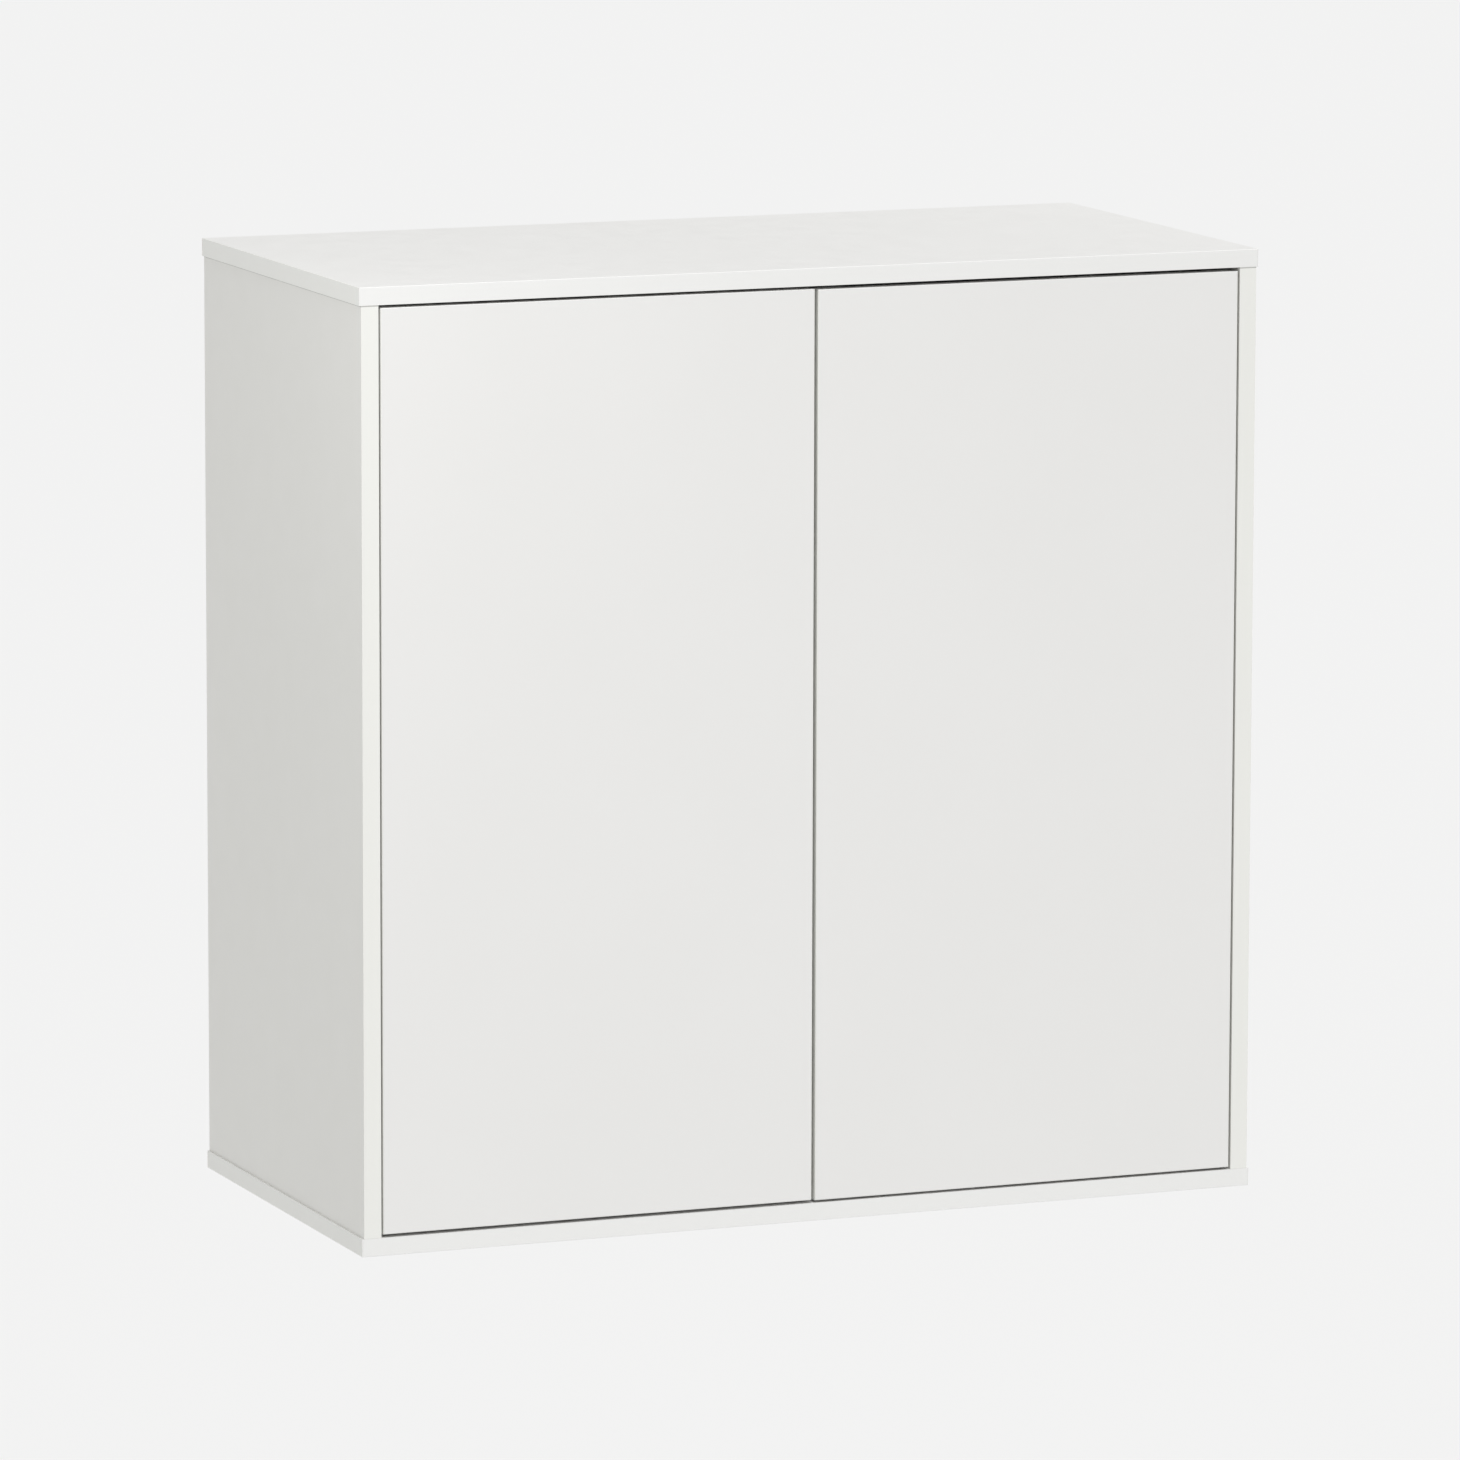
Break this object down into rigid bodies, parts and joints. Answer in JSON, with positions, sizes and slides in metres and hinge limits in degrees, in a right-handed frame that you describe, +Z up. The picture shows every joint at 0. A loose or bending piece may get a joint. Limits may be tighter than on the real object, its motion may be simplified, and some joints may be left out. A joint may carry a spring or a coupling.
{
  "type": "hanging wall cabinet",
  "caption": "White box cabinet that hangs on a wall, with flush inset doors on concealed hinges, push latches and loose shelves on pins.",
  "frame": {"origin": "centre of the four wall-screw holes, in the plane of the wall, which is also the middle of the cabinet's back", "axes": "+X to the right seen from the front, +Y back into the wall, +Z up"},
  "size_m": [0.8, 0.39, 0.8],
  "materials": {
    "white_board": "satin white melamine faced board",
    "white_hardboard": "smooth white painted hardboard",
    "beech": "bare fluted beech",
    "nickel_steel": "bright nickel plated",
    "zinc_steel": "zinc plated",
    "cast_zinc": "matt cast",
    "spring_steel": "drawn wire",
    "magnet": "ground",
    "white_plastic": "matt moulded",
    "grey_plastic": "fine matt moulded"
  },
  "bodies": {
    "cabinet": {"top_panel": "white_board", "bottom_panel": "white_board", "left_side_panel": "white_board", "right_side_panel": "white_board", "back_panel": "white_hardboard", "upper_rail": "white_board", "lower_rail": "white_board", "lower_shelf": "white_board", "upper_shelf": "white_board", "shelf_pins": "nickel_steel", "corner_dowels": "beech", "rail_dowels": "beech", "cam_bolts": "zinc_steel", "cam_locks": "cast_zinc", "cam_caps": "white_plastic", "latch_plugs": "grey_plastic", "latch_screws": "zinc_steel", "left_hinge_arms": "nickel_steel", "left_mounting_plates": "nickel_steel", "left_arm_screws": "zinc_steel", "left_plate_screws": "zinc_steel", "left_latch_housing": "grey_plastic", "left_latch_spring": "spring_steel", "right_hinge_arms": "nickel_steel", "right_mounting_plates": "nickel_steel", "right_arm_screws": "zinc_steel", "right_plate_screws": "zinc_steel", "right_latch_housing": "grey_plastic", "right_latch_spring": "spring_steel"},
    "left_door_leaf": {"left_door": "white_board", "left_hinge_cups": "nickel_steel", "left_hinge_pins": "nickel_steel", "left_cup_screws": "zinc_steel", "left_strike_plate": "zinc_steel", "left_strike_screws": "zinc_steel"},
    "right_door_leaf": {"right_door": "white_board", "right_hinge_cups": "nickel_steel", "right_hinge_pins": "nickel_steel", "right_cup_screws": "zinc_steel", "right_strike_plate": "zinc_steel", "right_strike_screws": "zinc_steel"},
    "left_plunger": {"left_latch_plunger": "grey_plastic", "left_latch_magnet": "magnet"},
    "right_plunger": {"right_latch_plunger": "grey_plastic", "right_latch_magnet": "magnet"}
  },
  "joints": [
    {"name": "left_door_swing", "type": "hinge", "parent": "cabinet", "child": "left_door_leaf", "pos_m": [-0.37225, -0.384, 0], "axis": [0, 0, -1], "range_deg": [0, 95]},
    {"name": "right_door_swing", "type": "hinge", "parent": "cabinet", "child": "right_door_leaf", "pos_m": [0.37225, -0.384, 0], "axis": [0, 0, 1], "range_deg": [0, 95]},
    {"name": "left_plunger_push", "type": "slide", "parent": "cabinet", "child": "left_plunger", "axis": [0, 1, 0], "range_m": [0, 0.0025], "stiffness_N_per_m": 600, "springref_m": -0.003, "deforming": ["left_latch_spring"]},
    {"name": "right_plunger_push", "type": "slide", "parent": "cabinet", "child": "right_plunger", "axis": [0, 1, 0], "range_m": [0, 0.0025], "stiffness_N_per_m": 600, "springref_m": -0.003, "deforming": ["right_latch_spring"]}
  ]
}
